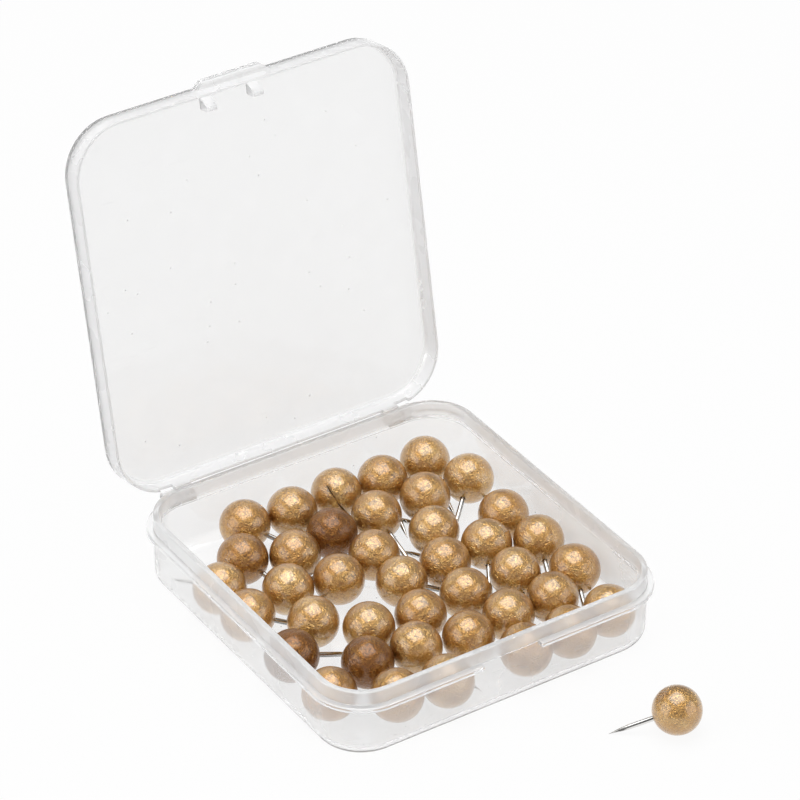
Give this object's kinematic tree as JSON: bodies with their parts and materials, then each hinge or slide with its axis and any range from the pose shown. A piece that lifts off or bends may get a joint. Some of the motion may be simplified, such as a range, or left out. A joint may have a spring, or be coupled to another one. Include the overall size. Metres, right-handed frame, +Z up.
{
  "type": "boxed set of ball-head push pins",
  "caption": "Clear hinged flat case standing open with a layer of gold ball-headed push pins in its tray and one pin lying loose in front of it.",
  "frame": {"origin": "centre of the tray's flat underside, on the surface that the case and the loose pin stand on", "axes": "+X to the right along the front (thumb tab) edge, +Y back towards the hinge, +Z up"},
  "size_m": [0.074, 0.1242, 0.0892],
  "materials": {
    "clear_case": "clear, slightly milky injection-moulded polypropylene",
    "gold_bead": "turned wooden bead painted metallic gold",
    "needle_steel": "polished nickel-plated steel"
  },
  "bodies": {
    "tray": {"row_1_head_1": "gold_bead", "row_1_head_2": "gold_bead", "row_1_head_3": "gold_bead", "row_1_head_4": "gold_bead", "row_1_head_5": "gold_bead", "row_1_needles": "needle_steel", "row_2_head_1": "gold_bead", "row_2_head_2": "gold_bead", "row_2_head_3": "gold_bead", "row_2_head_4": "gold_bead", "row_2_head_5": "gold_bead", "row_2_head_6": "gold_bead", "row_2_needles": "needle_steel", "row_3_head_1": "gold_bead", "row_3_head_2": "gold_bead", "row_3_head_3": "gold_bead", "row_3_head_4": "gold_bead", "row_3_head_5": "gold_bead", "row_3_head_6": "gold_bead", "row_3_needles": "needle_steel", "row_4_head_1": "gold_bead", "row_4_head_2": "gold_bead", "row_4_head_3": "gold_bead", "row_4_head_4": "gold_bead", "row_4_head_5": "gold_bead", "row_4_needles": "needle_steel", "row_5_head_1": "gold_bead", "row_5_head_2": "gold_bead", "row_5_head_3": "gold_bead", "row_5_head_4": "gold_bead", "row_5_head_5": "gold_bead", "row_5_head_6": "gold_bead", "row_5_needles": "needle_steel", "row_6_head_1": "gold_bead", "row_6_head_2": "gold_bead", "row_6_head_3": "gold_bead", "row_6_head_4": "gold_bead", "row_6_head_5": "gold_bead", "row_6_head_6": "gold_bead", "row_6_head_7": "gold_bead", "row_6_needles": "needle_steel", "row_7_head_1": "gold_bead", "row_7_head_2": "gold_bead", "row_7_head_3": "gold_bead", "row_7_head_4": "gold_bead", "row_7_head_5": "gold_bead", "row_7_needles": "needle_steel", "tray": "clear_case"},
    "lid": {"lid": "clear_case"},
    "loose_pin": {"loose_head": "gold_bead", "loose_needle": "needle_steel"}
  },
  "joints": [
    {"name": "lid_hinge", "type": "hinge", "parent": "tray", "child": "lid", "pos_m": [0, 0.0393, 0.0122], "axis": [1, 0, 0], "range_deg": [0, 101]},
    {"name": "loose_pin_lift", "type": "slide", "parent": "tray", "child": "loose_pin", "axis": [0, 0, 1], "range_m": [0, 0.03]}
  ]
}
